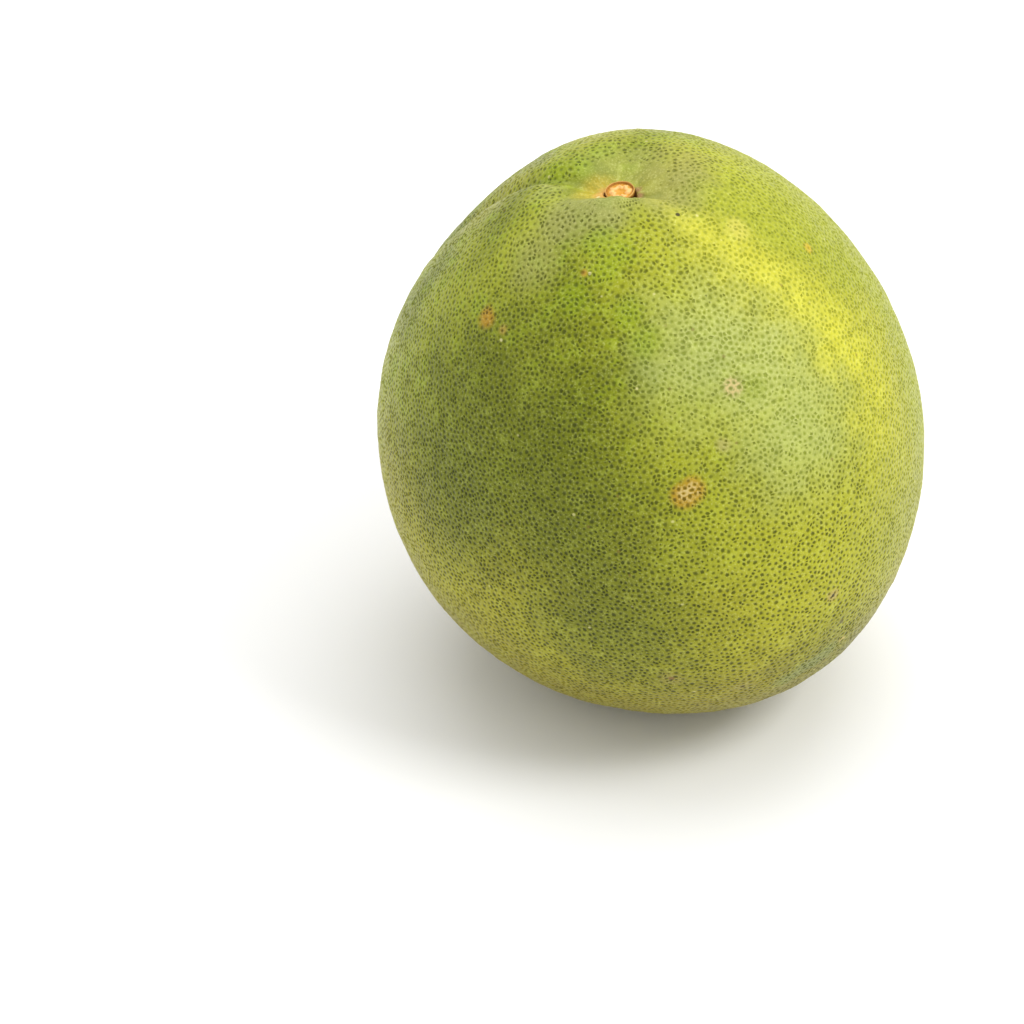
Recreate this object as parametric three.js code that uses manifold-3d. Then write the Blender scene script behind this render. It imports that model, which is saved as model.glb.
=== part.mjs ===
// A whole pomelo, lying on a small flat spot with its stem end leaning a little forward and to the
// left. Millimetres, +Z up. It is one grown body of rind, with the dry stem button in its hollow.

import * as THREE from 'three';
import { mergeVertices } from 'three/addons/utils/BufferGeometryUtils.js';
import Module from 'manifold-3d';

const wasm = await Module();
wasm.setup();

const degrees = Math.PI / 180;

// Driving dimensions of the fruit, with its stem axis upright.
const HALF_WIDTH = 80.4;
const HALF_DEPTH = 80.5;
const CENTRE_TO_STEM_END = 85.4;
const CENTRE_TO_BLOSSOM_END = 84.3;
const SHOULDER_TAPER = 0.204; // how much narrower the stem end grows than an egg would
const LEAN_FORWARD = 9.5 * degrees; // of the stem axis, towards -Y
const LEAN_LEFT = 6.1 * degrees; // and towards -X
const FLAT_SPOT_HEIGHT = 2.3; // pressed off the underside

// A fruit is never quite round: two ribs and three ribs run down it, barely raised.
const RIBS = [
  { count: 2, height: 2.9, around: -53 * degrees, power: 2 },
  { count: 3, height: 1.0, around: -71 * degrees, power: 3 },
];

// Broad swells (+) and dents (-), each at a place given by its angles around and down from the stem.
const SWELLS = [
  { around: 147 * degrees, down: 49 * degrees, reach: 24 * degrees, height: -2.5 },
  { around: 300 * degrees, down: 125 * degrees, reach: 28 * degrees, height: 3 },
  { around: 215 * degrees, down: 115 * degrees, reach: 40 * degrees, height: 2.9 },
  { around: 330 * degrees, down: 100 * degrees, reach: 26 * degrees, height: -0.6 },
];

// The stem hollow: a straight, steep lip in front of the button and a gentle slope on its other sides.
const HOLLOW = {
  depth: 6.2,
  floorRadius: 4.5,
  lipDistance: 11.6,
  lipAround: -94 * degrees,
  farRim: 33,
};

// Furrows run down from the hollow, each along one line around the fruit.
const FURROWS = [
  { around: 153 * degrees, from: 9 * degrees, to: 70 * degrees, depth: 2.6, halfWidth: 3.5 },
  { around: 130 * degrees, from: 4 * degrees, to: 16 * degrees, depth: 0.8, halfWidth: 3.2 },
  { around: 72 * degrees, from: 5 * degrees, to: 26 * degrees, depth: 1.1, halfWidth: 6 },
  { around: -24 * degrees, from: 5 * degrees, to: 24 * degrees, depth: 1.5, halfWidth: 6 },
];

// The small sunken mark where the flower's style fell, a little off the axis.
const STYLE_MARK = { around: 60 * degrees, down: 167 * degrees, depth: 1.2, radius: 5 };

// The dry button left by the stem, and the seat that it sits in.
const BUTTON = {
  radius: 4.2,
  root: 2.2, // below the hollow's floor
  rim: 0.95, // above the floor
  rimWidth: 0.55,
  dishHeight: 0.3,
  lumpHeight: 0.28,
  lumps: 5,
};
const BUTTON_GAP = 0.31;

// How finely the rind is divided: rings lie closer together towards the stem.
const SEGMENTS_AROUND = 80;
const RINGS = 70;
const RING_PACKING = 1.65;

// Eases from 0 at low to 1 at high.
function ease(value, low, high) {
  return THREE.MathUtils.smoothstep(value, low, high);
}

function direction(around, down) {
  const out = Math.sin(down);
  return new THREE.Vector3(out * Math.cos(around), out * Math.sin(around), Math.cos(down));
}

// The even form under all relief: an egg, narrowed at the shoulders, with its low ribs.
function bodyPoint(around, down) {
  const up = Math.cos(down);
  const out = Math.sin(down);
  const taper = 1 - SHOULDER_TAPER * ((1 + up) / 2) ** 2;
  let rib = 0;
  for (const { count, height, around: crest, power } of RIBS) {
    rib += height * out ** power * Math.cos(count * (around - crest));
  }
  return new THREE.Vector3(
    (HALF_WIDTH * out * taper + rib) * Math.cos(around),
    (HALF_DEPTH * out * taper + rib) * Math.sin(around),
    up * (up > 0 ? CENTRE_TO_STEM_END : CENTRE_TO_BLOSSOM_END),
  );
}

function swellAt(here) {
  let height = 0;
  for (const swell of SWELLS) {
    const away = here.angleTo(direction(swell.around, swell.down)) / swell.reach;
    height += swell.height * Math.exp(-(away ** 2));
  }
  return height;
}

// Depth of the stem hollow, which is the full depth on its floor and 0 past its rim. The rim is a
// circle, but where the straight lip comes closer it follows that, with a soft turn between the two.
function hollowAt(around, fromAxis) {
  const towardsLip = Math.max(0, Math.cos(around - HOLLOW.lipAround));
  const rim = ((towardsLip / HOLLOW.lipDistance) ** 3 + HOLLOW.farRim ** -3) ** (-1 / 3);
  return HOLLOW.depth * (1 - ease(fromAxis, HOLLOW.floorRadius, rim));
}

function furrowsAt(around, down) {
  let depth = 0;
  for (const furrow of FURROWS) {
    const sideways = HALF_WIDTH * Math.sin(down) * Math.sin(around - furrow.around);
    const ahead = Math.cos(around - furrow.around) > 0;
    const start = ease(down, furrow.from * 0.5, furrow.from);
    const end = 1 - ease(down, (furrow.from + furrow.to) / 2, furrow.to);
    const cut = Math.exp(-((sideways / furrow.halfWidth) ** 2));
    depth += ahead ? furrow.depth * start * end * cut : 0;
  }
  return depth;
}

function styleMarkAt(here) {
  const away = here.angleTo(direction(STYLE_MARK.around, STYLE_MARK.down)) * CENTRE_TO_BLOSSOM_END;
  return STYLE_MARK.depth * Math.exp(-((away / STYLE_MARK.radius) ** 2));
}

function rindPoint(around, down) {
  const here = direction(around, down);
  const fromAxis = down * CENTRE_TO_STEM_END;
  const sunk = hollowAt(around, fromAxis) + furrowsAt(around, down) + styleMarkAt(here);
  return bodyPoint(around, down).addScaledVector(here, swellAt(here) - sunk);
}

// Turns what is modelled along an upright stem axis to where the lying fruit holds it.
function leaned(geometry) {
  return geometry.rotateX(LEAN_FORWARD).rotateY(-LEAN_LEFT);
}

function rindGeometry() {
  const geometry = new THREE.SphereGeometry(1, SEGMENTS_AROUND, RINGS);
  const { position, uv } = geometry.attributes;
  for (let i = 0; i < position.count; i += 1) {
    const around = 2 * Math.PI * uv.getX(i);
    const down = Math.PI * (1 - uv.getY(i)) ** RING_PACKING;
    const point = rindPoint(around, down);
    position.setXYZ(i, point.x, point.y, point.z);
  }
  return leaned(geometry);
}

const HOLLOW_FLOOR = CENTRE_TO_STEM_END - HOLLOW.depth;

// The room for the button: as deep as its root and open above.
function seatGeometry() {
  const bottom = HOLLOW_FLOOR - BUTTON.root - BUTTON_GAP;
  const top = CENTRE_TO_STEM_END;
  const seat = new THREE.CylinderGeometry(
    BUTTON.radius + BUTTON_GAP, BUTTON.radius + BUTTON_GAP, top - bottom, 48,
  );
  seat.rotateX(Math.PI / 2).translate(0, 0, (top + bottom) / 2);
  return leaned(seat);
}

// The button: a woody disc with a thin standing rim round an uneven dish.
function buttonGeometry() {
  const { radius, root, rim, rimWidth, dishHeight } = BUTTON;
  const profile = [
    [0, -root],
    [radius * 0.8, -root],
    [radius * 0.94, -root * 0.6],
    [radius, 0],
    [radius - rimWidth * 0.25, rim * 0.85],
    [radius - rimWidth * 0.7, rim],
    [radius - rimWidth * 1.3, rim * 0.75],
    [radius - rimWidth * 2.2, dishHeight],
    [radius * 0.55, dishHeight],
    [radius * 0.28, dishHeight],
    [0, dishHeight],
  ];
  const disc = new THREE.LatheGeometry(profile.map(([r, z]) => new THREE.Vector2(r, z)), 40);
  disc.rotateX(Math.PI / 2);
  roughenDish(disc);
  return leaned(disc.translate(0, 0, HOLLOW_FLOOR));
}

// Lifts the dish into soft lumps, which fade out at its middle and at the rim.
function roughenDish(disc) {
  const { position } = disc.attributes;
  for (let i = 0; i < position.count; i += 1) {
    const across = Math.hypot(position.getX(i), position.getY(i)) / BUTTON.radius;
    const around = Math.atan2(position.getY(i), position.getX(i));
    const inDish = position.getZ(i) > 0 && across < 0.7;
    const swell = Math.sin(Math.PI * Math.min(across / 0.75, 1)) * Math.cos(BUTTON.lumps * around);
    position.setZ(i, position.getZ(i) + (inDish ? BUTTON.lumpHeight * swell : 0));
  }
}

// Conversions between three.js geometry and solids that can be cut.
function toSolid(geometry) {
  const bare = geometry.clone().deleteAttribute('normal').deleteAttribute('uv');
  const merged = mergeVertices(bare, 1e-3);
  return new wasm.Manifold(new wasm.Mesh({
    numProp: 3,
    vertProperties: new Float32Array(merged.attributes.position.array),
    triVerts: new Uint32Array(merged.index.array),
  }));
}

function toGeometry(solid) {
  const { numProp, vertProperties, triVerts } = solid.getMesh();
  const corners = new THREE.InterleavedBuffer(vertProperties, numProp);
  const geometry = new THREE.BufferGeometry();
  geometry.setAttribute('position', new THREE.InterleavedBufferAttribute(corners, 3, 0));
  geometry.setIndex(new THREE.BufferAttribute(triVerts, 1));
  return geometry;
}

// What lies below the flat spot, to be cut away.
function belowFlatSpot(lowest) {
  const size = 4 * HALF_WIDTH;
  return new THREE.BoxGeometry(size, size, size).translate(0, 0, lowest + FLAT_SPOT_HEIGHT - size / 2);
}

const rind = rindGeometry();
rind.computeBoundingBox();
const lowest = rind.boundingBox.min.z;

// The part's origin is under the middle of the fruit's box, on the flat spot.
const middle = rind.boundingBox.getCenter(new THREE.Vector3());
const toOrigin = new THREE.Vector3(-middle.x, -middle.y, -lowest - FLAT_SPOT_HEIGHT);

const fruitSolid = toSolid(rind).subtract(toSolid(seatGeometry())).subtract(toSolid(belowFlatSpot(lowest)));

const fruit = new THREE.Mesh(
  toGeometry(fruitSolid),
  new THREE.MeshStandardMaterial({ color: 0x9fae3a, roughness: 0.45, metalness: 0 }),
);
fruit.name = 'fruit';
fruit.position.copy(toOrigin);

const button = new THREE.Mesh(
  buttonGeometry(),
  new THREE.MeshStandardMaterial({ color: 0xc98a3c, roughness: 0.8, metalness: 0 }),
);
button.name = 'stem_button';
button.position.copy(toOrigin);

const pomelo = new THREE.Group();
pomelo.add(fruit, button);

export default pomelo;
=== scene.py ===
# %% [markdown]
# # A whole pomelo
# A pomelo is the largest of the citrus fruits. Its rind is thick and waxy, and thousands of oil glands lie
# just under it: each shows as a darker dot at the bottom of a shallow pit. The fruit in this lesson rests
# on a small flat spot and leans a little, so that the stem end, with its dry woody button, faces forward.
#
# The CAD model gives the true form and size of the fruit and of the button. This file dresses both: it
# grows a finer skin over the CAD form, gland by gland, and gives each piece a finish made of nodes.

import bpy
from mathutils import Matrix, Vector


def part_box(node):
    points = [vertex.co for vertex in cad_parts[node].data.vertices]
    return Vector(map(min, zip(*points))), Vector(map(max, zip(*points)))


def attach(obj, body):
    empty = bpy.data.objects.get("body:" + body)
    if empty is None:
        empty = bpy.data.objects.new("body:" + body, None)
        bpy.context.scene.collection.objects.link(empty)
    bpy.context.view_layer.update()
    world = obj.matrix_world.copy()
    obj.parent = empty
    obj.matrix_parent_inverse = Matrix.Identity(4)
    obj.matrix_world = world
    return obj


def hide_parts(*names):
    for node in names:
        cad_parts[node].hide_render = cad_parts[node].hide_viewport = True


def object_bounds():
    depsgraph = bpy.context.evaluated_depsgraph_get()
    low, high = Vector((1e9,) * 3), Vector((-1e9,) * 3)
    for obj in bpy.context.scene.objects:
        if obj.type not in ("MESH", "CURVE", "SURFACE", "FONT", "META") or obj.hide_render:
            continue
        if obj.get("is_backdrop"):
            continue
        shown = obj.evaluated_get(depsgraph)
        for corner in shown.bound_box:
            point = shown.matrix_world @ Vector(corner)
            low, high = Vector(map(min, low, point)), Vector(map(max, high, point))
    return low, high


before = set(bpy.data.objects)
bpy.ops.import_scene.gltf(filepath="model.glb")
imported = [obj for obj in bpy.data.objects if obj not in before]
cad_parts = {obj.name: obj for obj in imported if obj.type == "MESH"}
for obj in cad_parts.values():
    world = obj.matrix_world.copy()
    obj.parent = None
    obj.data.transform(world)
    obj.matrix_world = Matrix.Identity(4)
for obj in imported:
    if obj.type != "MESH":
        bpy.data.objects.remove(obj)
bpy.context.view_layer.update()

# %% Load Blender's modules
import math

import bmesh
import bpy
import numpy as np
from mathutils import Matrix, Vector, noise
from mathutils.bvhtree import BVHTree

MM = 0.001

# %% [markdown]
# ## The fruit's own axes
# A fruit is easiest to describe along its stem axis: how far down from the stem end a place lies, and how
# far around. On the table the fruit leans forward and to the left, so one rotation takes a place from the
# fruit's own axes to the table's. The button tells where the axes start, because the middle of its box lies
# at a known place along them.

# %% The lean and the middle of the fruit
LEAN_FORWARD = math.radians(9.5)
LEAN_LEFT = math.radians(6.1)
BUTTON_FROM_MIDDLE = Vector((-0.06, -0.09, 78.64)) * MM  # the middle of the button's box
FLOOR_FROM_MIDDLE = 79.2 * MM  # up to the floor of the stem hollow

lean = Matrix.Rotation(-LEAN_LEFT, 3, "Y") @ Matrix.Rotation(LEAN_FORWARD, 3, "X")
button_low, button_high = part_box("stem_button")
middle = (button_low + button_high) / 2 - lean @ BUTTON_FROM_MIDDLE
print("middle of the fruit, mm:", [round(value / MM, 1) for value in middle])

# %% Directions by angle, and the way back to the table
LEAN = np.array(lean)
MIDDLE = np.array(middle)


def direction(around, down):
    """Unit vectors along the fruit's own axes, from angles in degrees."""
    around, down = np.radians(around), np.radians(down)
    out = np.sin(down)
    return np.stack([out * np.cos(around), out * np.sin(around), np.cos(down) + 0 * around], -1)


def on_table(points):
    """Takes points from the fruit's own axes, in metres from its middle, to the table."""
    return MIDDLE + points @ LEAN.T


print("the stem axis points to:", on_table(direction(0.0, 0.0)).round(2))

# %% [markdown]
# ## A smooth form to grow the skin on
# The CAD fruit is made of flat facets, a few millimetres across. They would show in the gloss, so the skin
# isn't laid on them. A copy is subdivided first, which rounds every facet into its neighbours, while the
# sharp edges of the button's seat are creased and stay. The CAD object itself isn't touched. A BVH tree of
# the copy then answers one question very fast: how far out is the rind in this direction?

# %% Subdivide a copy of the CAD fruit
SHARP_EDGE = math.radians(35)


def smooth_tree(node):
    """A BVH tree of a subdivided copy of a CAD node, whose sharp edges stay sharp."""
    made = bmesh.new()
    made.from_mesh(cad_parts[node].data)
    bmesh.ops.remove_doubles(made, verts=made.verts, dist=0.001 * MM)
    crease = made.edges.layers.float.new("crease_edge")
    for edge in made.edges:
        edge[crease] = float(len(edge.link_faces) == 2 and edge.calc_face_angle() > SHARP_EDGE)
    mesh = bpy.data.meshes.new("form")
    made.to_mesh(mesh)
    made.free()
    form = bpy.data.objects.new("form", mesh)
    bpy.context.scene.collection.objects.link(form)
    form.modifiers.new("rounded", "SUBSURF").levels = 2
    tree = BVHTree.FromObject(form, bpy.context.evaluated_depsgraph_get())
    bpy.data.objects.remove(form)
    bpy.data.meshes.remove(mesh)
    return tree


form_tree = smooth_tree("fruit")


def reach_of_form(directions):
    """How far out the form lies, in metres, for each direction in the fruit's own axes."""
    found = np.empty(len(directions))
    for i, ray in enumerate(directions @ LEAN.T):
        found[i] = form_tree.ray_cast(middle, Vector(ray))[3]
    return found


print("the form reaches, mm:", (reach_of_form(direction(np.array([0, 90, 180, 270]), 90)) / MM).round(1))

# %% [markdown]
# ## Where the glands lie
# On a real rind the glands are scattered, but never bunched: each keeps its distance from the next. Points
# on a golden spiral are even but look like a knitted pattern, and random points clump. So the spiral is
# shaken, and each point then moves halfway to the middle of its neighbours, a few times over. The neighbours
# come from the convex hull of the points on a sphere, which joins each point to those around it and to no
# others.

# %% Scatter the points
GLANDS = 33000
SHAKE = 0.42  # of the distance between glands
SETTLING_ROUNDS = 3
BARE_RADIUS = 12.0 * MM  # nearer the stem axis than this the rind has no glands
MEAN_REACH = 80  # mm, of the rind from the fruit's middle
HEXAGONAL = 1.07  # how far apart neighbours are, where each point has a unit of area
rng = np.random.default_rng(7)


def normalised(vectors):
    return vectors / np.linalg.norm(vectors, axis=-1, keepdims=True)


def golden_spiral(count):
    """Even points on a unit sphere."""
    index = np.arange(count) + 0.5
    up = 1 - 2 * index / count
    around = index * math.pi * (3 - math.sqrt(5))
    out = np.sqrt(1 - up**2)
    return np.stack([out * np.cos(around), out * np.sin(around), up], -1)


def hull_of(points):
    """The triangles that join points on a sphere, facing out."""
    made = bmesh.new()
    for point in points:
        made.verts.new(point)
    made.verts.index_update()
    bmesh.ops.convex_hull(made, input=made.verts)
    triangles = np.array([[v.index for v in face.verts] for face in made.faces])
    made.free()
    a, b, c = (points[triangles[:, i]] for i in range(3))
    inward = np.einsum("ij,ij->i", np.cross(b - a, c - a), a) < 0
    triangles[inward] = triangles[inward][:, ::-1]
    return triangles


def neighbours_mean(values, triangles):
    """For each point, the mean of the values at the points it shares an edge with. Two points that all but
    meet count as one to the hull, which leaves the other alone: its mean is 0."""
    total = np.zeros_like(values)
    count = np.zeros(len(values))
    for here, there in ((0, 1), (1, 2), (2, 0)):
        np.add.at(total, triangles[:, here], values[triangles[:, there]])
        np.add.at(count, triangles[:, here], 1)
    return (total.T / np.maximum(count, 1)).T


spacing = math.sqrt(4 * math.pi / GLANDS)
glands = normalised(golden_spiral(GLANDS) + rng.normal(0, SHAKE * spacing, (GLANDS, 3)))
for _ in range(SETTLING_ROUNDS):
    glands = normalised(glands + neighbours_mean(glands, hull_of(glands)))
far_from_stem = np.hypot(glands[:, 0], glands[:, 1]) > BARE_RADIUS / FLOOR_FROM_MIDDLE
glands = glands[far_from_stem | (glands[:, 2] < 0)]
print(len(glands), "glands, about", round(spacing * MEAN_REACH * HEXAGONAL, 2), "mm apart")

# %% [markdown]
# Round the button the rind is bare and its shapes are small: a thin crack, the lip of the seat, and fine
# wrinkles. Scattered points would give the crack a ragged edge, so there the points lie in rings instead.

# %% Rings of points round the button
RING_POINTS = 84
UNDER_BUTTON = [1.9, 3.2]  # mm from the stem axis, as are the next two lists
AT_CRACK = [3.9, 4.08, 4.22, 4.36, 4.6, 4.92]
BEYOND_CRACK = [5.3, 5.8, 6.4, 7.1, 7.9, 8.8, 9.8, 10.9]
RING_RADII = UNDER_BUTTON + AT_CRACK + BEYOND_CRACK


def bare_rings():
    rings = [direction(np.zeros(1), np.zeros(1))]
    for i, radius in enumerate(RING_RADII):
        around = (np.arange(RING_POINTS) + i % 2 / 2) * 360 / RING_POINTS
        down = math.degrees(math.atan2(radius * MM, FLOOR_FROM_MIDDLE))
        rings.append(direction(around, np.full(RING_POINTS, down)))
    return np.concatenate(rings)


rings = bare_rings()
print(len(rings), "points in rings")

# %% [markdown]
# ## A fan of triangles for each gland
# The hull joins the glands to each other, so a pit would have no room between two of them. Each triangle
# of the hull therefore gets a new point in its middle. Every gland then stands in the centre of a ring of
# such points, with a fan of about six triangles that are its own: the centre can sink to make the pit,
# while the ring stays up and makes the net of rind between the pits.

# %% Split the hull into fans


def fans(points, triangles):
    """The points with the hull triangles' middles after them, and the triangles of the fans."""
    middles = normalised(points[triangles].mean(1))
    count = len(points)
    here = triangles.ravel()
    there = np.roll(triangles, -1, 1).ravel()
    left = np.repeat(np.arange(len(triangles)), 3)
    key = here * count + there
    order = np.argsort(key)
    right = left[order][np.searchsorted(key[order], there * count + here)]
    return np.concatenate([points, middles]), np.stack([here, count + right, count + left], -1)


centres = np.concatenate([glands, rings])
centres = centres[np.unique(hull_of(centres))]  # of two that all but meet, only one
hull = hull_of(centres)
assert len(np.unique(hull)) == len(centres), "some gland has no fan"
unit, skin_faces = fans(centres, hull)
print(len(unit), "points and", len(skin_faces), "triangles in the skin")

# %% [markdown]
# ## The shape of the rind
# The form tells how far out each point lies. On top of that come the small shapes that a facet model can't
# hold: soft undulations, the pits over the glands, wrinkles that run out from the button, and the crack
# round it. Each is a short function that says how far, in millimetres, the rind stands out or sinks in.

# %% Measure the form, and keep the seat out of it
SEAT_RADIUS = 5.6 * MM  # the form is read no nearer to the stem axis, where it drops into the seat
SMOOTHING_ROUNDS = 5
UNDERSIDE = 200.0  # mm, the stem distance of all that lies below the middle: far
TINY = 1e-6


def kept_off_seat(directions):
    """Directions with those that meet the seat turned out to its edge."""
    across = np.hypot(directions[:, 0], directions[:, 1]) * FLOOR_FROM_MIDDLE
    stretch = np.maximum(1, SEAT_RADIUS / np.maximum(across, TINY))
    stretch = np.where(directions[:, 2] > 0, stretch, 1)
    moved = directions * np.stack([stretch, stretch, np.ones_like(stretch)], -1)
    moved[across < TINY, 0] = SEAT_RADIUS / FLOOR_FROM_MIDDLE
    return normalised(moved)


reach = reach_of_form(kept_off_seat(unit))
for _ in range(SMOOTHING_ROUNDS):
    reach = (reach + neighbours_mean(reach, skin_faces)) / 2
surface = unit * reach[:, None]
stem_distance = np.where(unit[:, 2] > 0, np.hypot(surface[:, 0], surface[:, 1]) / MM, UNDERSIDE)  # mm
print("the form reaches from", (reach.min() / MM).round(1), "to", (reach.max() / MM).round(1), "mm")

# %% [markdown]
# Two helpers make all the small shapes. One eases from 0 to 1 between two values, so that no shape starts
# with a kink. The other gives smooth random heights, from the noise that comes with Blender.

# %% Soft steps and waves
SEED_SHIFT = 31.7  # moves each seed to another part of the noise
NOISE_REACH = 1.6  # brings the noise up to about -1 to 1


def ease(value, low, high):
    """0 below low, 1 above high, and a soft step between."""
    share = np.clip((value - low) / (high - low), 0, 1)
    return share * share * (3 - 2 * share)


def waves(points, length, seed):
    """Smooth random heights from about -1 to 1, which change over the given length in mm."""
    scaled = points / (length * MM) + SEED_SHIFT * seed
    return np.array([noise.noise(Vector(point)) for point in scaled]) * NOISE_REACH


# %% [markdown]
# ## The size of each gland
# The finish will draw a gland's dot from a value stored on the skin: it is high in the middle of the fan
# and 0 on its ring, and the dot's edge is where it passes a half. So the value in the middle follows from
# the wanted radius of the dot and the size of the fan. Near the button the values fade, and the dots with
# them, but in front, under the straight lip of the hollow, the dots start sooner.

# %% Values for the glands
GLAND_RADIUS = 0.43  # mm
GLAND_SPREAD = 0.1
SMALLEST_DOT, LARGEST_DOT = 0.2, 0.62
LARGEST_SHARE = 0.66  # of its fan that a dot can fill
DOT_EDGE = 0.5
FIRST_DOTS, FULL_DOTS = 10.5, 16.5  # mm from the stem axis
FRONT_START = 4.5  # mm sooner in front


def fan_radii():
    """For each gland, the mean distance in mm from its middle to the ring round it."""
    length = np.linalg.norm(surface[skin_faces[:, 0]] - surface[skin_faces[:, 1]], axis=1) / MM
    total = np.bincount(skin_faces[:, 0], length, len(centres))
    return total / np.bincount(skin_faces[:, 0], minlength=len(centres))


fan_radius = fan_radii()
dot_radius = np.clip(rng.normal(GLAND_RADIUS, GLAND_SPREAD, len(centres)), SMALLEST_DOT, LARGEST_DOT)
dot_radius = np.minimum(dot_radius, LARGEST_SHARE * fan_radius)
in_front = np.clip(-surface[:, 1] / MM / np.maximum(stem_distance, 1), 0, 1) ** 2
loose_distance = stem_distance + 3.0 * waves(surface, 6, 1) + FRONT_START * in_front
patchy = ease(loose_distance, FIRST_DOTS, FULL_DOTS)
gland = np.zeros(len(unit))
gland[: len(centres)] = DOT_EDGE / (1 - dot_radius / fan_radius)
gland *= patchy
print("dots of", dot_radius.min().round(2), "to", dot_radius.max().round(2), "mm radius")

# %% [markdown]
# ## The relief
# The pits sink with the gland values, and a little chance makes them uneven. The undulations lie all over,
# the streaks only near the button, and the crease along the furrow. The seat goes down in two steps: a
# shallow crack that shows, and under the button a deeper room that only has to hold its root.

# %% Relief, in millimetres
PIT_DEPTH = 0.15
DEEPEST = 1.2  # the gland value past which a pit gets no deeper
GRAIN = 0.022
BROAD_SWELLS, FINE_SWELLS = 0.15, 0.07
STREAKS = 0.17
CREASE_DEPTH, CREASE_WIDTH = 0.42, 1.1
RIDGE_HEIGHT, RIDGE_WIDTH = 0.3, 1.5
RIDGE_BESIDE = 3.4  # of the crease
SEAT_DEPTH = 2.5
LEDGE = 0.3  # the share of that depth at which the button's edge stands
WELT_HEIGHT, WELT_WIDTH, WELT_RADIUS = 0.2, 0.5, 5.0
FURROW_AROUND = 153  # degrees, as in the CAD form, which holds the furrow's broad shape


def undulations():
    return BROAD_SWELLS * waves(surface, 11, 2) + FINE_SWELLS * waves(surface, 4.5, 3)


def pits():
    return patchy * (-PIT_DEPTH * np.minimum(gland, DEEPEST) + GRAIN * rng.normal(0, 1, len(unit)))


def streaks():
    """Fine, uneven ridges that run out from the button and fade."""
    around = np.arctan2(surface[:, 1], surface[:, 0])
    stretched = np.stack([8 * np.cos(around), 8 * np.sin(around), 0.32 * stem_distance], -1) * MM
    near = ease(stem_distance, 4.9, 7) * (1 - ease(stem_distance, 9, 21))
    return STREAKS * near * waves(stretched, 1.9, 4)


def crease():
    """The sharp line at the bottom of the furrow, and the low ridge that follows it."""
    around = math.radians(FURROW_AROUND)
    sideways = (surface[:, 1] * math.cos(around) - surface[:, 0] * math.sin(around)) / MM
    ahead = surface[:, 0] * math.cos(around) + surface[:, 1] * math.sin(around) > 0
    fades = ahead * ease(stem_distance, 12, 24) * ease(surface[:, 2] / MM, 28, 52)
    wander = sideways + 0.6 * waves(surface, 9, 8)
    raised = RIDGE_HEIGHT * np.exp(-(((wander - RIDGE_BESIDE) / RIDGE_WIDTH) ** 2))
    return fades * (raised - CREASE_DEPTH * np.exp(-((wander / CREASE_WIDTH) ** 2)))


def seat():
    """The crack that parts the rind from the button, the room for its root, and a low welt."""
    crack = 1 - ease(stem_distance, 4.06, 4.32)
    root_room = 1 - ease(stem_distance, 3.3, 3.9)
    welt = np.exp(-(((stem_distance - WELT_RADIUS) / WELT_WIDTH) ** 2))
    return WELT_HEIGHT * welt - SEAT_DEPTH * (LEDGE * crack + (1 - LEDGE) * root_room)


relief = undulations() + pits() + streaks() + crease() + seat()
print("relief from", relief.min().round(2), "to", relief.max().round(2), "mm")

# %% [markdown]
# ## Laying the skin
# The skin rests on the table with its flat spot, and no pebble of it may dip into the table, so heights
# below the table are lifted to it. Two things are stored on its points for the finish: the gland values,
# and each point's place along the fruit's own axes, by which the marks on the rind are placed.

# %% Build the skin's mesh


def mesh_object(name, points, faces):
    """A smooth-shaded object in the scene, from points in metres on the table."""
    mesh = bpy.data.meshes.new(name)
    mesh.from_pydata(points.tolist(), [], [list(face) for face in faces])
    mesh.shade_smooth()
    made = bpy.data.objects.new(name, mesh)
    bpy.context.scene.collection.objects.link(made)
    return made


def store_places(thing, points):
    """Keeps each point's place along the fruit's own axes, in mm, on the mesh."""
    places = thing.data.attributes.new("own_place", "FLOAT_VECTOR", "POINT")
    places.data.foreach_set("vector", (points / MM).astype(np.float32).ravel())


skin_points = on_table(unit * (reach + relief * MM)[:, None])
skin_points[:, 2] = np.maximum(skin_points[:, 2], 0)
skin = mesh_object("rind_skin", skin_points, skin_faces)
store_places(skin, surface)
skin.data.attributes.new("gland", "FLOAT", "POINT").data.foreach_set("value", gland)
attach(skin, "root")
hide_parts("fruit")
print("skin from", skin_points.min(0).round(4), "to", skin_points.max(0).round(4))

# %% [markdown]
# ## A map for the skin
# A finish can be baked to an image, and the image needs a flat map of the skin. The fruit is seen from its
# middle as if through the six sides of a cube: each side unfolds with little stretch and few seams.

# %% Unfold the skin like a cube
MAP_NAME = "OFBake"
MAP_FILL = 0.96  # of each side's share of the map


def cube_map(points, faces):
    """For each corner of each face, its place on a map of a cube's six sides."""
    facing = points[faces].mean(1)
    side = np.abs(facing).argmax(1)
    front = np.take_along_axis(facing, side[:, None], 1)[:, 0] > 0
    corners = points[faces]
    depth = np.abs(np.take_along_axis(corners, side[:, None, None].repeat(3, 1), 2))
    right = np.take_along_axis(corners, ((side + 1) % 3)[:, None, None].repeat(3, 1), 2)
    up = np.take_along_axis(corners, ((side + 2) % 3)[:, None, None].repeat(3, 1), 2)
    mirror = np.where(front, 1, -1)[:, None]
    u = np.arctan2(right[..., 0], depth[..., 0]) / (math.pi / 2) * MAP_FILL * mirror + 0.5
    v = np.arctan2(up[..., 0], depth[..., 0]) / (math.pi / 2) * MAP_FILL + 0.5
    return np.stack([(u + side[:, None]) / 3, (v + front[:, None]) / 2], -1)


layer = skin.data.uv_layers.new(name=MAP_NAME)
layer.uv.foreach_set("vector", cube_map(unit, skin_faces).astype(np.float32).ravel())
print("map laid for", len(skin_faces), "faces")

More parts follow.
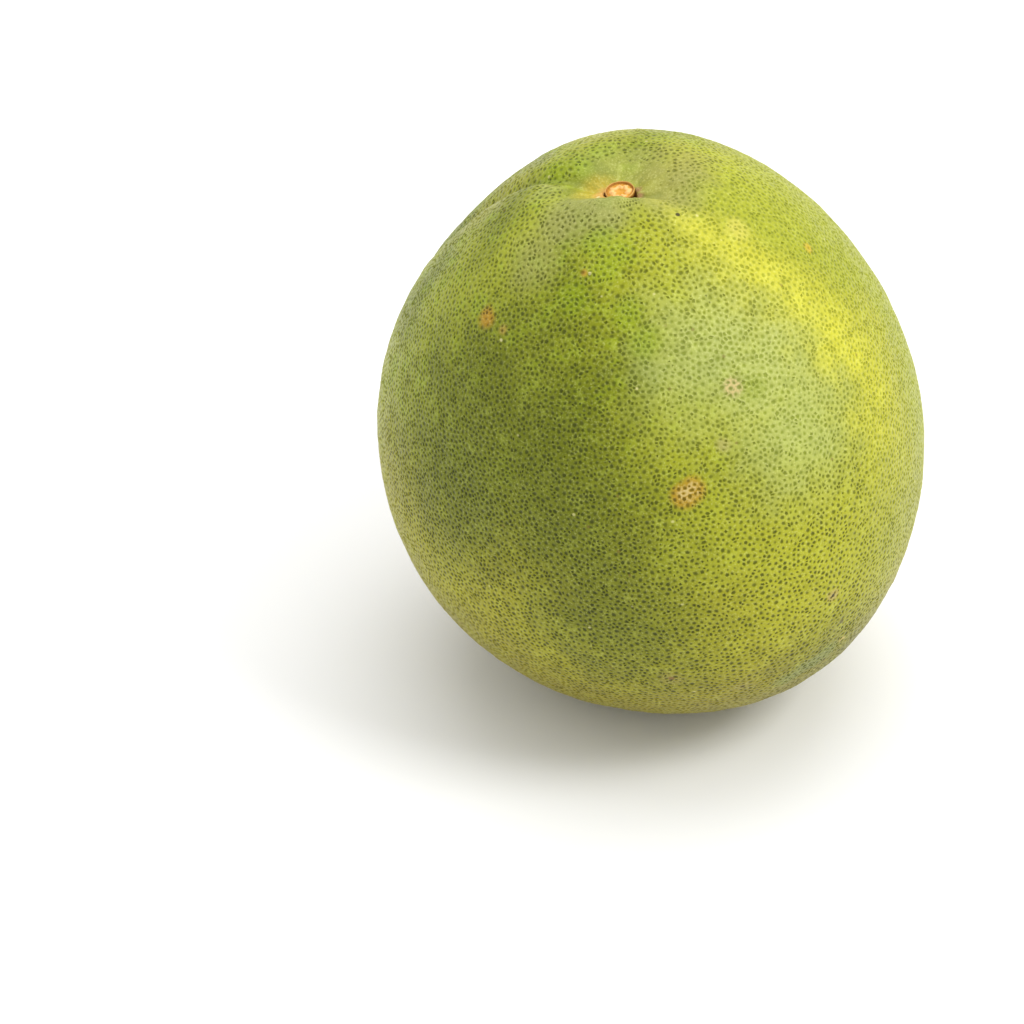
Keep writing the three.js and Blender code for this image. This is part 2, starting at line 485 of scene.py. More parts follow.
# %% [markdown]
# ## The stem button
# Where the stalk broke away it left the dry calyx: a woody disc with a thin rim that stands up, a dish
# inside it, and pale lumps of dried pith in a ring on the dish. It is modelled as rings of points round the
# stem axis, whose heights come from the same kind of short functions as the rind's.

# %% The button's shape
BUTTON_RADIUS = 4.17  # mm, as are the heights below, which count from the hollow's floor
BUTTON_ROOT = -2.1
RIM_HEIGHT = 0.7
DISH_HEIGHT = 0.15
BUTTON_RINGS = 46
BUTTON_SPOKES = 128
RIM_AT, RIM_WIDTH = 0.945, 0.042  # as shares of the radius
LUMPS_AT, LUMPS_WIDTH = 0.52, 0.2
LOBES, FIBRES = 7, 30  # around the button
FIBRE_HEIGHT, ROUGHNESS = 0.06, 0.13
SIDE = ((0.97, -0.2), (0.94, -0.6), (0.78, -1.1), (0.74, BUTTON_ROOT))  # narrowing, and height


def button_heights(across, around):
    """Height of the button's top, for shares of its radius and angles around it."""
    spots = np.stack([across * np.cos(around), across * np.sin(around), 0 * across], -1) * BUTTON_RADIUS * MM
    uneven = waves(spots, 1.1, 5)
    rim = RIM_HEIGHT * np.exp(-(((across - RIM_AT) / RIM_WIDTH) ** 2)) * (1 + 0.2 * waves(spots, 2.2, 6))
    lobes = 0.5 + 0.5 * np.cos(LOBES * around + 1.2 + 2.5 * waves(spots, 2.2, 7))
    lumps = np.exp(-(((across - LUMPS_AT) / LUMPS_WIDTH) ** 2)) * (0.3 + 0.34 * lobes)
    on_wall = ease(across, 0.6, 0.8) * (1 - ease(across, 0.86, 0.95))
    fibres = FIBRE_HEIGHT * np.sin(FIBRES * around + 4 * uneven) * on_wall
    return DISH_HEIGHT + rim + lumps + fibres + ROUGHNESS * uneven * (1 - ease(across, 0.8, 0.95))


def ring_faces(rings, spokes):
    """Faces that join one top point, rings of points and one bottom point."""
    step = np.arange(spokes)
    turn = (step + 1) % spokes
    caps = [[0, 1 + i, 1 + j] for i, j in zip(step, turn)]
    bottom = 1 + rings * spokes
    base = bottom - spokes
    caps += [[bottom, base + j, base + i] for i, j in zip(step, turn)]
    sides = []
    for ring in range(rings - 1):
        first = 1 + ring * spokes
        sides += [[first + i, first + spokes + i, first + spokes + j, first + j] for i, j in zip(step, turn)]
    return caps + sides


def button_mesh():
    """Points and faces of the button: a top of many rings, and a side that narrows to the root."""
    share = np.linspace(0, 1, BUTTON_RINGS + 1)[1:, None]
    around = np.linspace(0, 2 * math.pi, BUTTON_SPOKES, endpoint=False)[None, :]
    across, angle = (grid.ravel() for grid in np.broadcast_arrays(share, around))
    heights = button_heights(across, angle)
    outline = 0.963 + 0.012 * np.sin(3 * angle + 0.6) + 0.007 * np.sin(7 * angle)
    radius = across * BUTTON_RADIUS * outline
    top = np.stack([radius * np.cos(angle), radius * np.sin(angle), heights], -1)
    last = top[-BUTTON_SPOKES:]
    side = [last * [narrowing, narrowing, 0] + [0, 0, height] for narrowing, height in SIDE]
    centre_top = [[0, 0, float(button_heights(np.zeros(1), np.zeros(1))[0])]]
    points = np.concatenate([centre_top, top, *side, [[0, 0, BUTTON_ROOT]]])
    return points, ring_faces(BUTTON_RINGS + len(SIDE), BUTTON_SPOKES)


# %% Build the button
button_points, button_faces = button_mesh()
in_hollow = (button_points + [0, 0, FLOOR_FROM_MIDDLE / MM]) * MM
button = mesh_object("stem_button_wood", on_table(in_hollow), button_faces)
store_places(button, button_points * MM)
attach(button, "root")
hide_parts("stem_button")
print("button of", len(button_faces), "faces,", button_points[:, 2].max().round(2), "mm high")

# %% [markdown]
# ## Writing finishes as sums
# A finish is a graph of nodes, and a graph is hard to read in a script. Most of it is arithmetic on masks,
# so the class below wraps a node's output and gives it Python's operators: `1 - mask` then adds the Math
# node that does it. Every other node comes from one method, which takes the node's type, its settings and
# what goes into its sockets.

# %% A wire that can be calculated with


class Wire:
    """A node's output. Arithmetic on it adds Math nodes to its finish."""

    def __init__(self, finish, socket):
        self.finish = finish
        self.socket = socket

    def maths(self, operation, *values):
        inputs = dict(enumerate(values))
        return self.finish.node("ShaderNodeMath", {"operation": operation}, inputs)

    def __add__(self, other):
        return self.maths("ADD", self, other)

    def __sub__(self, other):
        return self.maths("SUBTRACT", self, other)

    def __rsub__(self, other):
        return self.maths("SUBTRACT", other, self)

    def __mul__(self, other):
        return self.maths("MULTIPLY", self, other)

    def __truediv__(self, other):
        return self.maths("DIVIDE", self, other)

    def __abs__(self):
        return self.maths("ABSOLUTE", self)

    def least(self, other):
        return self.maths("MINIMUM", self, other)

    def most(self, other):
        return self.maths("MAXIMUM", self, other)

    def eased(self, low, high):
        """0 below low, 1 above high, and a soft step between. It falls if low is the higher."""
        return self.finish.node(
            "ShaderNodeMapRange",
            {"interpolation_type": "SMOOTHSTEP"},
            {"Value": self, "From Min": low, "From Max": high},
        )

    __radd__ = __add__
    __rmul__ = __mul__


# %% A finish and its nodes


def paint(red, green, blue):
    """A colour from the 0 to 255 values that a colour picker shows, as linear light."""
    parts = [value / 255 for value in (red, green, blue)]
    linear = [part / 12.92 if part <= 0.04045 else ((part + 0.055) / 1.055) ** 2.4 for part in parts]
    return (*linear, 1.0)


class Finish:
    """A material with a Principled shader, whose even values are set on its own sockets."""

    def __init__(self, name, **even):
        self.material = bpy.data.materials.new(name)
        self.material.use_nodes = True
        self.nodes = self.material.node_tree.nodes
        self.links = self.material.node_tree.links
        self.shader = self.nodes["Principled BSDF"]
        for socket, value in even.items():
            self.shader.inputs[socket.replace("_", " ")].default_value = value

    def node(self, kind, settings=None, inputs=None, output=0):
        """Adds a node: its settings first, then a value or a wire for each socket."""
        made = self.nodes.new(kind)
        for name, value in (settings or {}).items():
            setattr(made, name, value)
        for socket, value in (inputs or {}).items():
            if isinstance(value, Wire):
                self.links.new(value.socket, made.inputs[socket])
            else:
                made.inputs[socket].default_value = value
        return Wire(self, made.outputs[output])

    def feed(self, socket, wire):
        self.links.new(wire.socket, self.shader.inputs[socket])

    def stored(self, name, output="Fac"):
        """A value, or with output Vector a place, that the mesh holds for each of its points."""
        return self.node("ShaderNodeAttribute", {"attribute_name": name}, output=output)

    def arrows(self, operation, *values, output=0):
        """Vector maths."""
        return self.node("ShaderNodeVectorMath", {"operation": operation}, dict(enumerate(values)), output)

    def cloud(self, place, size, detail=2.0, roughness=0.5):
        """Noise, mostly from 0.3 to 0.7, with features of the given size."""
        inputs = {"Vector": place, "Scale": 1 / size, "Detail": detail, "Roughness": roughness}
        return self.node("ShaderNodeTexNoise", {"normalize": True}, inputs)

    def mix(self, share, first, second, blend="MIX"):
        """Share of the second colour laid over the first."""
        inputs = {0: share, 6: first, 7: second}
        return self.node("ShaderNodeMix", {"data_type": "RGBA", "blend_type": blend}, inputs, 2)

    def bump(self, height, depth, under=None):
        """A bumpy normal from a height of 0 to 1, which stands for a depth in mm."""
        inputs = {"Height": height, "Distance": depth * MM}
        if under:
            inputs["Normal"] = under
        return self.node("ShaderNodeBump", {}, inputs, "Normal")


print("a mid grey as linear light:", round(paint(128, 128, 128)[0], 3))

# %% [markdown]
# ## The finish of the rind
# The ground colour of a pomelo is green, which ripens to yellow in a broad patch where the sun reached it
# and to olive low down. The yellow patch is also painted lighter where the key light falls. The olive low
# down is painted a little darker, as painted shade under the fruit. A deep green on the left side and
# another low on the right are painted shade only. Fresh green blotches and a grey, waxy bloom lie over it,
# the bloom most of all where the rind is smooth round the stem. All of it is mixed from masks: soft noise
# for what is scattered, and the distance from named spots for what is in one place only. A spot is named by
# its angles around and down the fruit, so a mark stays with the fruit wherever that lies.

# %% What the masks are made from
rind = Finish("rind", Specular_IOR_Level=0.22)
own = rind.stored("own_place", "Vector")
broad = rind.cloud(own, 26, 2.0)
mottle = rind.cloud(own, 8, 4.0, 0.55)
freckle = rind.cloud(own, 2.6, 3.0, 0.6)
grain = rind.cloud(own, 0.55, 3.0, 0.65)
from_stem = rind.arrows("LENGTH", rind.arrows("MULTIPLY", own, (1, 1, 0)), output="Value")
height = rind.node("ShaderNodeSeparateXYZ", {}, {0: own}, "Z")


def spot(around, down):
    """The point of the form at these angles, in degrees, in mm along the fruit's own axes."""
    ray = direction(np.array([around]), np.array([down]))
    return tuple((ray * reach_of_form(ray)[:, None] / MM)[0])


def away_from(*places):
    """How far the rind is from the nearest of some places, in mm."""
    nearest = None
    for around, down in places:
        here = rind.arrows("DISTANCE", own, spot(around, down), output="Value")
        nearest = here if nearest is None else nearest.least(here)
    return nearest


def patch(places, reach, fade, wander=4.0):
    """1 within reach of the places, 0 where it has faded out, both in mm, with a wandering edge."""
    loose = away_from(*places) + (mottle - 0.5) * (2 * wander)
    return loose.eased(reach + fade, reach)


print("under the lip, mm:", [round(value) for value in spot(-90, 12)])

# %% Ground colour
GREEN = paint(160, 166, 40)
FRESH = paint(136, 158, 8)
DEEP = paint(124, 132, 12)
# The darkest green is painted shade: it darkens the left side as if a shadow lay there.
SHADE_GREEN = paint(100, 108, 2)
BLOOM = paint(138, 142, 64)
OLIVE = paint(168, 160, 26)
# The olive of the lower rind, a little darker than its own colour: partly painted shade under the fruit.
LOW_OLIVE_AND_SHADE = paint(136, 124, 22)
# A deep green for painted shade low on the right.
LOW_SHADE_GREEN = paint(92, 92, 2)
# Spots where painted shade lies on the left side.
LEFT_PAINTED_SHADE = [(-130, 54), (-117, 58), (-106, 70), (-99, 81), (-98, 92), (-135, 70)]
# Spots where painted shade lies low on the right.
LOW_RIGHT_PAINTED_SHADE = [(-56, 112), (-50, 122)]

ripe = (height + (broad - 0.5) * 60).eased(46, -12)
low_down = (height + (mottle - 0.5) * 30).eased(-8, -50)
fresh = (mottle * 0.6 + freckle * 0.4).eased(0.5, 0.62)

ground = rind.mix(broad.eased(0.68, 0.34), GREEN, DEEP)
ground = rind.mix(fresh * 0.5, ground, FRESH)
ground = rind.mix(ripe * 0.8, ground, OLIVE)
ground = rind.mix(low_down * 0.8, ground, LOW_OLIVE_AND_SHADE)
# Painted shade on the left side.
ground = rind.mix(patch(LEFT_PAINTED_SHADE, 4, 44, 14) * 0.85, ground, SHADE_GREEN)
# Painted shade low on the right.
ground = rind.mix(patch(LOW_RIGHT_PAINTED_SHADE, 3, 26, 10) * 0.6, ground, LOW_SHADE_GREEN)
print("green ground mixed")

# %% [markdown]
# The sun ripened one side, from the stem down, like a slice. What counts is a place's turn around the stem
# axis from the middle of that slice, in degrees: the arc tangent of its distance sideways over its distance
# ahead. The slice drifts a little near the stem, and ends sooner towards the green side than on the other.
# Its yellow is also painted light, lighter where the key light falls. The half turned to that light is
# mixed to a lighter green, which is painted light only. Beyond the slice the green is brighter. On the
# shoulder in front of it, a milky patch is a painted sheen: the key light's highlight laid into the colour.

# %% The sunny side
SUNNY_MIDDLE = math.radians(-25)
# The ripened yellow and greenish yellow, partly painted light: lighter where the key light falls.
YELLOW = paint(204, 200, 54)
GREENISH_YELLOW = paint(140, 143, 34)
BRIGHT_GREEN = paint(166, 172, 34)
# A lighter green painted on the half turned to the key light: painted light.
LIT_SIDE_GREEN = paint(168, 169, 28)
# A pale, milky green and the spots it lies round: a painted sheen, the key light's highlight.
PAINTED_SHEEN = paint(176, 188, 120)
PAINTED_SHEEN_SPOTS = [(-66, 40), (-54, 48), (-52, 60)]


def along_line(angle):
    """How far the rind is sideways from the half-plane at an angle around the stem axis, and ahead."""
    ahead = rind.arrows("DOT_PRODUCT", own, (math.cos(angle), math.sin(angle), 0), output="Value")
    aside = rind.arrows("DOT_PRODUCT", own, (-math.sin(angle), math.cos(angle), 0), output="Value")
    return aside, ahead


aside, ahead = along_line(SUNNY_MIDDLE)
turned = aside.maths("ARCTAN2", aside, ahead) * math.degrees(1)
across_sun = turned + height.eased(46, 80) * 14 + (broad - 0.5) * 30 + (mottle - 0.5) * 14
above = height.eased(-24, 46)
# The yellow slice and the greenish band round it: ripened colour, partly painted light.
sunny = across_sun.eased(-22, 2) * across_sun.eased(22, -4) * above
upper = height.eased(-52, 0)
sunlit = across_sun.eased(-28, -4) * across_sun.eased(68, 36) * upper
# Painted light: the half turned to the key light is lighter.
lit_side = across_sun.eased(-84, -18) * across_sun.eased(120, 70) * upper
ground = rind.mix(lit_side * 0.7, ground, LIT_SIDE_GREEN)
ground = rind.mix(sunlit * 0.7, ground, GREENISH_YELLOW)
beyond = across_sun.eased(2, 24) * across_sun.eased(84, 48) * upper
ground = rind.mix(beyond * 0.6, ground, BRIGHT_GREEN)
ground = rind.mix(sunny * (mottle * 0.8 + 0.4), ground, YELLOW)
# Painted highlight: the key light's sheen on the shoulder, laid into the colour.
painted_sheen = patch(PAINTED_SHEEN_SPOTS, 3, 28, 12)
ground = rind.mix(painted_sheen * 0.48, ground, PAINTED_SHEEN)
print("sunny side laid")

# %% [markdown]
# No rind has an even tone. Cloudy freckles are a little darker than the rest, and milky ones a little
# paler. Both are made from the ground's own colour, so they follow it from green to yellow.

# %% Uneven tone
CLOUDY = (0.80, 0.82, 0.70, 1)
MILKY = (0.09, 0.10, 0.02, 1)
cloudy = rind.mix(1.0, ground, CLOUDY, "MULTIPLY")
milky = rind.mix(1.0, ground, MILKY, "SCREEN")
ground = rind.mix(freckle.eased(0.52, 0.34) * 0.7, ground, cloudy)
ground = rind.mix(freckle.eased(0.5, 0.68) * mottle.eased(0.4, 0.6), ground, milky)
print("uneven tone laid")

# %% [markdown]
# Close to the stem the rind is smooth, and a grey bloom of wax stays on it. The dry button has stained it
# yellow and orange on one side, and a thin purple-brown band lies beside the crack on the other. A few fresh
# green blotches stand out beyond.

# %% Round the stem
SMOOTH_RIND = [(-141, 12), (-120, 8), (-100, 5), (-28, 11), (-5, 12), (60, 9), (110, 9)]
GREY_BELOW = [(-141, 14), (-131, 11), (-114, 9), (-140, 22)]
GREY_RIGHT = [(-15, 8), (10, 9), (25, 13)]
GREEN_BLOTCHES = [(106, 13), (131, 11), (147, 15), (-105, 15), (-91, 17), (-112, 26)]
GREEN_BLOTCHES += [(-98, 20), (-89, 29), (-84, 34)]
ORANGE_SIDE = [(172, 4.8), (-168, 5), (150, 4.6)]
ORANGE_EDGE = [(-158, 3.8), (176, 3.7), (158, 3.6)]
BROWN_SIDE = [(20, 3.7), (-5, 3.8)]
GREY = paint(150, 150, 88)
GREY_OLIVE = paint(146, 140, 70)
STAINED = paint(200, 172, 50)
ORANGE = paint(222, 160, 84)
PURPLE_BROWN = paint(146, 98, 64)
PALE_RAY = paint(176, 178, 92)
GREEN_RAY = paint(124, 132, 52)

ground = rind.mix(patch(SMOOTH_RIND, 2, 10, 5) * 0.55, ground, BLOOM)
ground = rind.mix(patch(GREY_BELOW, 3, 9, 3) * 0.5, ground, GREY)
ground = rind.mix(patch(GREY_RIGHT, 2, 12, 5) * 0.6, ground, GREY_OLIVE)
ground = rind.mix(patch(GREEN_BLOTCHES, 1.5, 5, 3) * 0.5, ground, FRESH)
ground = rind.mix(patch(ORANGE_SIDE, 1, 6.5, 2) * 0.75, ground, STAINED)
ground = rind.mix(patch(ORANGE_EDGE, 0.5, 2.8, 1.5) * 0.8, ground, ORANGE)
ground = rind.mix(patch(BROWN_SIDE, 0.3, 1.6, 0.8) * 0.85, ground, PURPLE_BROWN)

sideways = rind.arrows("NORMALIZE", rind.arrows("MULTIPLY", own, (1, 1, 0)))
outward = rind.node("ShaderNodeCombineXYZ", {}, {"Z": from_stem * 0.13})
stretched = rind.arrows("ADD", rind.arrows("MULTIPLY", sideways, (3.6, 3.6, 3.6)), outward)
rays = rind.cloud(stretched, 1, 3.0, 0.6) * 0.6 + grain * 0.4
near_stem = from_stem.eased(20, 8) * from_stem.eased(4.6, 6) * height.eased(0, 20)
ground = rind.mix(near_stem * rays.eased(0.48, 0.62) * 0.5, ground, PALE_RAY)
ground = rind.mix(near_stem * rays.eased(0.52, 0.4) * 0.5, ground, GREEN_RAY)
print("stem end coloured")

# %% [markdown]
# A scuffed, pale line follows the ridge of the furrow, and the bottom of the furrow is a darker green. The
# distance from a line down the fruit is the length of a place's shadow on the line's sideways direction.

# %% Along the furrow
GREY_SIDE = paint(160, 160, 92)
PALE_RIDGE = paint(190, 190, 112)
GREEN_VALLEY = paint(116, 128, 44)
aside, ahead = along_line(math.radians(FURROW_AROUND))
wandering = aside + (mottle - 0.5) * 5
along = ahead.eased(10, 22) * height.eased(24, 46)
scuffed = freckle.eased(0.38, 0.6) * mottle.eased(0.38, 0.56)
ridge = abs(wandering - 3.6).eased(2.4, 0.3) * along
valley = abs(wandering).eased(2.2, 0.2) * along
beside = abs(wandering - 7).eased(6, 1) * along
ground = rind.mix(beside * mottle.eased(0.4, 0.6) * 0.5, ground, GREY_SIDE)
ground = rind.mix(ridge * scuffed * 0.6, ground, PALE_RIDGE)
ground = rind.mix(valley * 0.5, ground, GREEN_VALLEY)
print("furrow coloured")

# %% [markdown]
# ## Stains, which the dots show through
# Some marks stain the rind but leave its glands to be seen: soft orange spots, the halo round a scar, grey
# sooty smudges. They go on the ground colour, before the dots. Each is a colour, how strongly it covers, its
# reach and fade in mm, and the spots that it lies round.

# %% Soft stains
STAINS = [
    (paint(186, 134, 40), 0.75, 1.0, 3.2, [(-146, 36)]),
    (paint(186, 140, 72), 0.5, 0.3, 1.8, [(-137, 36)]),
    (paint(196, 140, 50), 0.7, 0.1, 1.3, [(-110, 21)]),
    (paint(208, 168, 40), 0.65, 0.3, 2.0, [(-8, 39)]),
    (paint(204, 196, 84), 0.6, 1.5, 3.5, [(-24, 24)]),
    (paint(186, 134, 38), 0.65, 1.8, 2.8, [(-79, 64), (-81, 65)]),
    (paint(140, 152, 44), 0.6, 1.6, 3.2, [(-58, 49)]),
    (paint(148, 144, 92), 0.65, 1.4, 2.4, [(-63, 47)]),
    (paint(170, 158, 100), 0.5, 0.6, 2.4, [(-70, 57)]),
    (paint(178, 150, 96), 0.6, 1.0, 2.0, [(-55, 98)]),
    (paint(128, 138, 74), 0.6, 2.0, 4.0, [(-65, 118), (-62, 116), (-59, 116), (-56, 115)]),
    (paint(150, 140, 60), 0.6, 1.4, 3.0, [(-75, 115), (-89, 109)]),
    (paint(178, 174, 62), 0.45, 6.0, 14.0, [(100, 24), (150, 32)]),
    (paint(188, 168, 62), 0.4, 3.0, 9.0, [(150, 96), (64, 62), (20, 118)]),
    (paint(182, 142, 52), 0.5, 1.0, 4.5, [(168, 74), (82, 98), (38, 84), (112, 132)]),
    (paint(150, 142, 92), 0.55, 4.0, 10.0, [(60, 167), (70, 160)]),
]
for colour, strength, reach_mm, fade, places in STAINS:
    stained = patch(places, reach_mm, fade, 0.35 * (reach_mm + fade))
    ground = rind.mix(stained * strength, ground, colour)
print(len(STAINS), "stains laid")

# %% [markdown]
# ## The dots
# Each gland shows as a dot of the ground's own colour, only deeper: the oil in it takes most of the blue out
# of the light. Where the rind is ripe, and under the painted sheen, the dots are paler. The gland value
# stored on the skin gives three masks: the dot with its edge at a half, a darker core in the wide ones, and
# a faint halo. Light grains lie between the dots, most of all on the thin net of rind that is farthest from
# the glands.

# %% Gland dots
GREEN_OIL = (0.38, 0.40, 0.03, 1)  # what the oil lets through of red, green and blue
RIPE_OIL = (0.60, 0.66, 0.20, 1)
DEEP_OIL = (0.52, 0.55, 0.2, 1)
LIGHT_GRAIN = (0.86, 0.90, 0.34, 1)
in_gland = rind.stored("gland")
uneven = (0.58 + freckle * 0.8) * (1 - height.eased(-5, 50) * 0.34)
dot = in_gland.eased(DOT_EDGE - 0.12, DOT_EDGE + 0.1) * uneven
core = in_gland.eased(DOT_EDGE + 0.05, DOT_EDGE + 0.5) * uneven
halo = in_gland.eased(0.24, 0.5)
net = in_gland.eased(0.14, 0.0) * from_stem.eased(14, 22)

deeper = rind.mix(1.0, ground, GREEN_OIL, "MULTIPLY")
paler = rind.mix(1.0, ground, RIPE_OIL, "MULTIPLY")
# Dots are paler where the rind is ripe and where the painted sheen lies.
ripe_and_sheen_dots = sunlit.most(painted_sheen)
oily = rind.mix(ripe_and_sheen_dots * 0.9, deeper, paler)
darkest = rind.mix(1.0, oily, DEEP_OIL, "MULTIPLY")
light_net = rind.mix(1.0, ground, LIGHT_GRAIN, "SCREEN")

colour = rind.mix((net * 0.5 + 0.5) * grain.eased(0.5, 0.66) * 0.24, ground, light_net)
colour = rind.mix(halo * 0.24, colour, oily)
colour = rind.mix(dot, colour, oily)
colour = rind.mix(core * (1 - ripe_and_sheen_dots * 0.6) * 0.8, colour, darkest)
print("dots mixed")

# %% [markdown]
# ## Marks over the dots
# Scars and spots cover the glands. A scar left by a rubbing twig dries to a pale, net-like crust, in which
# the glands stay as small dark pits. Spots are small and dark or pale, and the noise frays their edges.

# %% Crusts, spots and flecks
CRUST = paint(206, 184, 122)
CRUSTS = [  # the spots it lies round, its reach and its fade in mm
    ([(-79, 64), (-80.5, 64.6)], 1.0, 1.4),
    ([(-63, 47)], 1.6, 1.6),
    ([(62, 84), (66, 90)], 1.5, 2.5),
    ([(-52, 114)], 0.8, 0.8),
]
crusty = None
for places, reach_mm, fade in CRUSTS:
    here = patch(places, reach_mm, fade, 1.4)
    crusty = here if crusty is None else crusty.most(here)
crust_net = crusty * in_gland.eased(0.5, 0.1) * (freckle * 0.5 + grain * 0.5).eased(0.4, 0.52)
colour = rind.mix(crust_net * 0.8, colour, CRUST)

SPOTS = [  # its colour, how strongly it covers, its reach in mm and its places
    (paint(58, 54, 20), 0.95, 0.55, [(-55, 98), (-41, 14)]),
    (paint(84, 74, 30), 0.8, 0.7, [(-53, 107), (-75, 115)]),
    (paint(96, 82, 44), 0.75, 0.6, [(-56, 118), (170, 60), (28, 100), (104, 76)]),
    (paint(124, 88, 50), 0.75, 0.8, [(-89, 109), (130, 112), (50, 128)]),
    (paint(214, 206, 150), 0.75, 0.4, [(-170, 4.2), (-168, 4.4), (-136, 38), (-107, 21)]),
    (paint(112, 84, 48), 0.9, 1.1, [(60, 167)]),
]
for spot_colour, strength, reach_mm, places in SPOTS:
    here = (away_from(*places) + (freckle - 0.5) * reach_mm).eased(reach_mm * 1.35, reach_mm * 0.75)
    colour = rind.mix(here * strength, colour, spot_colour)
print(len(CRUSTS), "crusts and", len(SPOTS), "kinds of spot laid")


# %% [markdown]
# Specks of cork are scattered all over a fruit, a few to a hand's breadth. A Voronoi texture parts the rind
# into cells with one point in each: most cells stay empty, and the others hold a speck at their point.

# %% Scattered specks
CORK_BROWN = paint(118, 98, 48)
PALE_CORK = paint(214, 208, 140)


def specks(cell, filled, size, stretch):
    """Specks in a share of the cells, each up to size mm in radius. The stretch sets its own pattern."""
    settings = {"voronoi_dimensions": "3D", "feature": "F1"}
    inputs = {"Vector": rind.arrows("MULTIPLY", own, stretch), "Scale": 1 / cell, "Randomness": 1.0}
    away = rind.node("ShaderNodeTexVoronoi", settings, inputs, "Distance") * cell
    cell_colour = rind.node("ShaderNodeTexVoronoi", settings, inputs, "Color")
    chance = rind.node("ShaderNodeSeparateXYZ", {}, {0: cell_colour})
    full = chance.eased(filled, filled - 0.02)
    return (away + (grain - 0.5) * size * 0.8).eased(size, size * 0.45) * full


brown_specks = specks(8.0, 0.30, 0.62, (1.0, 1.1, 0.9))
pale_specks = specks(6.0, 0.22, 0.55, (0.92, 1.0, 1.08))
colour = rind.mix(brown_specks * 0.55, colour, CORK_BROWN)
colour = rind.mix(pale_specks * 0.6, colour, PALE_CORK)
print("specks scattered")

# %% [markdown]
# Last comes the crack. The rind that goes down beside the button is coloured dark brown.

# %% The crack round the button
CRACK_BROWN = paint(122, 78, 38)
CRACK_EDGE = (4.56, 4.3)  # mm from the stem axis, where its colour starts and is full
crack = (from_stem + (grain - 0.5) * 0.5).eased(*CRACK_EDGE) * height.eased(0, 20)
rind.feed("Base Color", rind.mix(crack * 0.95, colour, CRACK_BROWN))

# %% [markdown]
# ## Gloss and fine relief
# The rind has a waxy, broken gloss. The skin's mesh holds the pits, but only as cones with one point at the
# bottom, so a bump adds their rounded shape, with a fine grain over everything. Scars are dull.

# %% Gloss and bump of the rind
GRAIN_DEPTH = 0.20  # mm
ROUNDED_DEPTH = 0.24
dull = crusty.most(brown_specks)
rind.feed("Roughness", 0.30 + mottle * 0.16 + dull * 0.25)
rounded = in_gland.eased(0.95, 0.05)
fine = rind.bump(freckle * 0.5 + grain * 0.5, GRAIN_DEPTH)
rind.feed("Normal", rind.bump(rounded, ROUNDED_DEPTH, under=fine))
skin.data.materials.append(rind.material)
print(len(rind.nodes), "nodes in the rind's finish")

# %% [markdown]
# ## The finish of the button
# The broken wood is pale gold where it stands up and catches the light, a warm golden brown on the inner
# wall of the rim, darkened there by painted shade, and dark outside it, down into the crack. The lumps of
# dried pith are a paler peach.

# %% Colours and bump of the wood
wood = Finish("button_wood", Roughness=0.62, Specular_IOR_Level=0.25)
in_button = wood.stored("own_place", "Vector")
tufts = wood.cloud(in_button, 0.9, 3.0, 0.6)
shreds = wood.cloud(in_button, 0.35, 2.0, 0.6)
across = wood.arrows("LENGTH", wood.arrows("MULTIPLY", in_button, (1, 1, 0)), output="Value") / BUTTON_RADIUS
high = wood.node("ShaderNodeSeparateXYZ", {}, {0: in_button}, "Z")

GOLD = paint(204, 150, 60)
PITH = paint(240, 192, 124)
AMBER = paint(206, 146, 44)
RIM_GOLD = paint(212, 164, 92)
INNER_BROWN_AND_SHADE = paint(150, 98, 34)
OUTER_BROWN = paint(112, 68, 30)
SHRED_DEPTH = 0.12  # mm

grown = wood.mix(tufts.eased(0.35, 0.65), GOLD, AMBER)
lumpy = (high + (tufts - 0.5) * 0.3).eased(0.24, 0.5) * across.eased(0.84, 0.74)
grown = wood.mix(lumpy * 0.9, grown, PITH)
# The rim's inner wall: brown wood, darkened with painted shade in the recess.
grown = wood.mix(across.eased(0.74, 0.84) * (0.25 + shreds), grown, INNER_BROWN_AND_SHADE)
grown = wood.mix(high.eased(0.45, 0.8) * across.eased(0.8, 0.88), grown, RIM_GOLD)
grown = wood.mix(high.eased(0.35, 0.0) * across.eased(0.9, 0.95), grown, OUTER_BROWN)
weathered = across.eased(0.935, 0.965) * tufts.eased(0.3, 0.6)
grown = wood.mix(weathered * 0.8, grown, OUTER_BROWN)
wood.feed("Base Color", grown)
wood.feed("Normal", wood.bump(shreds * 0.6 + tufts * 0.4, SHRED_DEPTH))
button.data.materials.append(wood.material)
print(len(wood.nodes), "nodes in the button's finish")

# %% [markdown]
# ## Floor, light and camera
# The fruit stands on a plain white floor in soft studio light: a white surround, a large soft light overhead,
# and a smaller one from the right that models the form and lays a broad sheen on the rind.

# %% The floor
FLOOR_SIZE = 6.0
corners = np.array([[-1, -1, 0], [1, -1, 0], [1, 1, 0], [-1, 1, 0]]) * FLOOR_SIZE / 2
floor = mesh_object("floor", corners, [[0, 1, 2, 3]])
pale = Finish("pale_floor", Base_Color=paint(249, 249, 249), Roughness=0.9, Specular_IOR_Level=0.1)
floor.data.materials.append(pale.material)
floor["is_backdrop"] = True

# %% The light
WORLD_STRENGTH = 0.82
KEY_POWER = 6.5
OVERHEAD_POWER = 8
LIGHT_DISTANCE = 1.2


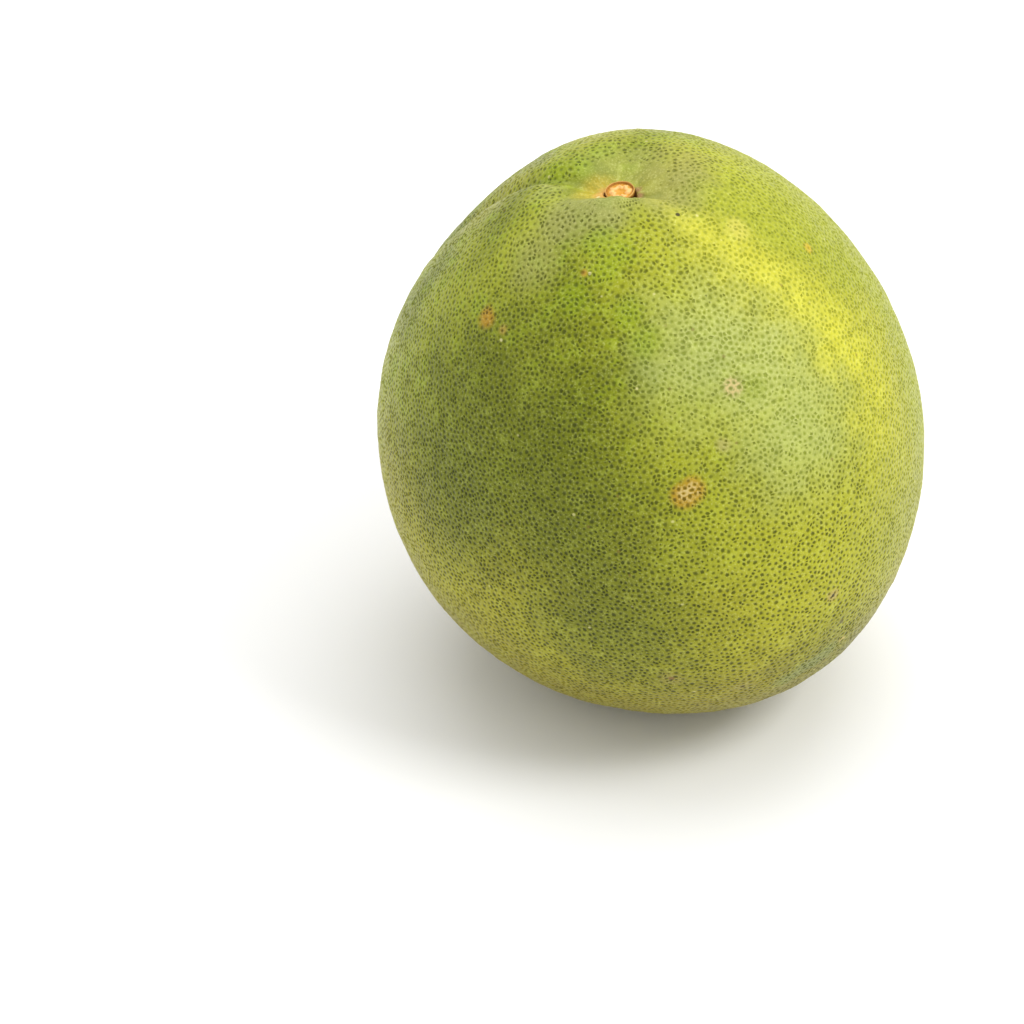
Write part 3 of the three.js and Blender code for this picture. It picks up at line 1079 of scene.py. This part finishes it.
def soft_light(name, toward, distance, size, power):
    """A square light that faces the fruit from an azimuth and elevation in degrees."""
    data = bpy.data.lights.new(name, "AREA")
    data.size = size
    data.energy = power
    light = bpy.data.objects.new(name, data)
    around, up = (math.radians(angle) for angle in toward)
    out = Vector((math.cos(up) * math.cos(around), math.cos(up) * math.sin(around), math.sin(up)))
    light.location = middle + out * distance
    light.rotation_euler = out.to_track_quat("Z", "Y").to_euler()
    bpy.context.scene.collection.objects.link(light)


world = bpy.data.worlds.new("white_surround")
world.use_nodes = True
world.node_tree.nodes["Background"].inputs["Color"].default_value = (1, 1, 1, 1)
world.node_tree.nodes["Background"].inputs["Strength"].default_value = WORLD_STRENGTH
bpy.context.scene.world = world
soft_light("key", toward=(-24, 46), distance=LIGHT_DISTANCE, size=0.42, power=KEY_POWER)
soft_light("overhead", toward=(85, 72), distance=LIGHT_DISTANCE, size=1.3, power=OVERHEAD_POWER)
bpy.context.scene.view_settings.view_transform = "Standard"
print("world at", WORLD_STRENGTH, "key at", KEY_POWER, "W, overhead at", OVERHEAD_POWER, "W")

# %% [markdown]
# The camera stands in front of the fruit and above it, about a metre away, with a long lens that keeps the
# form true. It is aimed past the fruit to the lower left, and turned there without rolling.

# %% The camera
CAMERA_ELEVATION = math.radians(33.25)
CAMERA_DISTANCE = 1.05
LENS = 132.43  # mm, on a 36 mm sensor
SEEN_FROM = Vector((0, 0, 0.084))  # the point that the distance is measured to
AIM_LEFT = 38.27 * MM  # the camera looks past the fruit, and leaves it on the right of its view
AIM_DOWN = 29.63 * MM

camera = bpy.data.objects.new("camera", bpy.data.cameras.new("camera"))
bpy.context.scene.collection.objects.link(camera)
back = Vector((0, -math.cos(CAMERA_ELEVATION), math.sin(CAMERA_ELEVATION)))
up = Vector((0, math.sin(CAMERA_ELEVATION), math.cos(CAMERA_ELEVATION)))
camera.location = SEEN_FROM + back * CAMERA_DISTANCE
aim = SEEN_FROM - Vector((1, 0, 0)) * AIM_LEFT - up * AIM_DOWN
level = Matrix((Vector((1, 0, 0)), up, back)).transposed()
turn = back.rotation_difference(camera.location - aim).to_matrix()
camera.rotation_euler = (turn @ level).to_euler()
camera.data.lens = LENS
camera.data.sensor_width = 36
bpy.context.scene.camera = camera
print("camera at", tuple(round(value, 3) for value in camera.location))

# %% Sizes, and the end
low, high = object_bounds()
